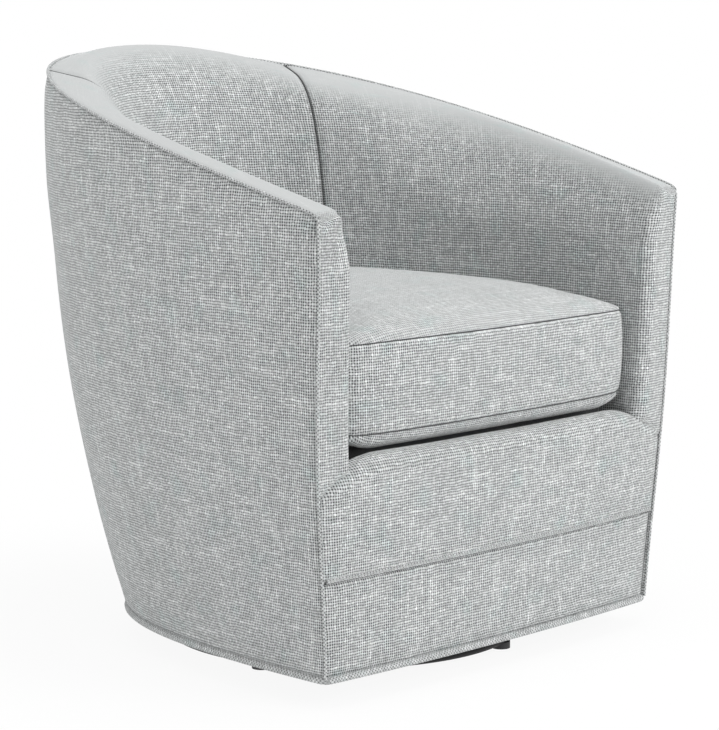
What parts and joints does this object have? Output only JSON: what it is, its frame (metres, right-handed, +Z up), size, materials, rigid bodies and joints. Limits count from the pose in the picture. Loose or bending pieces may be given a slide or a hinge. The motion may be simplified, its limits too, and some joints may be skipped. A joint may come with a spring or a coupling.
{
  "type": "swivel accent chair",
  "caption": "Upholstered barrel armchair with sloping arms and a loose box seat cushion, turning on a low round swivel base.",
  "frame": {"origin": "on the floor, under the middle of the chair's outline", "axes": "+Z up, the front of the seat faces -Y, +X is the sitter's left"},
  "size_m": [0.7182, 0.7523, 0.796],
  "materials": {
    "black_steel": "satin black paint on steel",
    "bright_steel": "zinc plated steel",
    "spring_wire": "dark drawn spring wire",
    "black_plastic": "moulded black plastic",
    "frame_wood": "bare plywood and hardwood",
    "backing_board": "grey-brown fibreboard",
    "webbing": "woven elastic webbing",
    "foam": "cream foam with batting",
    "dust_cloth": "thin black non-woven cloth",
    "deck_cloth": "plain grey lining cloth",
    "welt_fabric": "self welt in the cover's cloth",
    "cover_fabric": "coarse pale grey weave with lighter slub yarns"
  },
  "bodies": {
    "base": {"base_ring": "black_steel", "base_hub": "black_steel", "base_arms": "black_steel", "floor_glides": "black_plastic", "hub_bolts": "bright_steel", "lower_plate": "black_steel", "swivel_pin": "bright_steel", "pin_nut": "bright_steel"},
    "bearing": {"ball_cage": "black_plastic", "bearing_balls": "bright_steel"},
    "seat_cushion": {"cushion_core": "foam", "cushion_top_panel": "cover_fabric", "cushion_bottom_panel": "cover_fabric", "cushion_boxing": "cover_fabric", "cushion_zip": "black_plastic"},
    "chair": {"arm_liner_left": "backing_board", "arm_liner_right": "backing_board", "arm_pad_left": "foam", "arm_pad_right": "foam", "back_pad": "foam", "back_webbing": "webbing", "bottom_rim": "frame_wood", "bottom_welt": "welt_fabric", "cross_rails": "frame_wood", "deck_cover": "deck_cloth", "deck_pad": "foam", "dust_cover": "dust_cloth", "front_board": "frame_wood", "front_border_cover": "cover_fabric", "front_border_pad": "foam", "front_border_welt": "welt_fabric", "front_edge_rail": "frame_wood", "front_welts": "welt_fabric", "inside_arm_cover_left": "cover_fabric", "inside_arm_cover_right": "cover_fabric", "inside_back_cover": "cover_fabric", "kick_panel": "cover_fabric", "lower_post_back": "frame_wood", "lower_post_front_left": "frame_wood", "lower_post_front_right": "frame_wood", "lower_post_rear_left": "frame_wood", "lower_post_rear_right": "frame_wood", "outside_cover": "cover_fabric", "pivot_bush": "black_plastic", "plate_bolts": "bright_steel", "rear_seat_rail": "frame_wood", "seat_rim": "frame_wood", "seat_springs": "spring_wire", "shell_board": "backing_board", "spring_clips": "bright_steel", "tee_nuts": "bright_steel", "top_rim": "frame_wood", "top_welt": "welt_fabric", "upper_plate": "black_steel", "upper_post_back": "frame_wood", "upper_post_front_left": "frame_wood", "upper_post_front_right": "frame_wood", "upper_post_rear_left": "frame_wood", "upper_post_rear_right": "frame_wood"}
  },
  "joints": [
    {"name": "swivel", "type": "hinge", "parent": "base", "child": "chair", "pos_m": [0, -0.0715, 0.03], "axis": [0, 0, 1], "continuous": true},
    {"name": "bearing_roll", "type": "hinge", "parent": "base", "child": "bearing", "pos_m": [0, -0.0715, 0.03], "axis": [0, 0, 1], "continuous": true},
    {"name": "cushion_lift", "type": "slide", "parent": "chair", "child": "seat_cushion", "axis": [0, 0, 1], "range_m": [0, 0.35]}
  ],
  "couplings": [
    {"joint": "bearing_roll", "follows": "swivel", "ratio": 0.5}
  ]
}
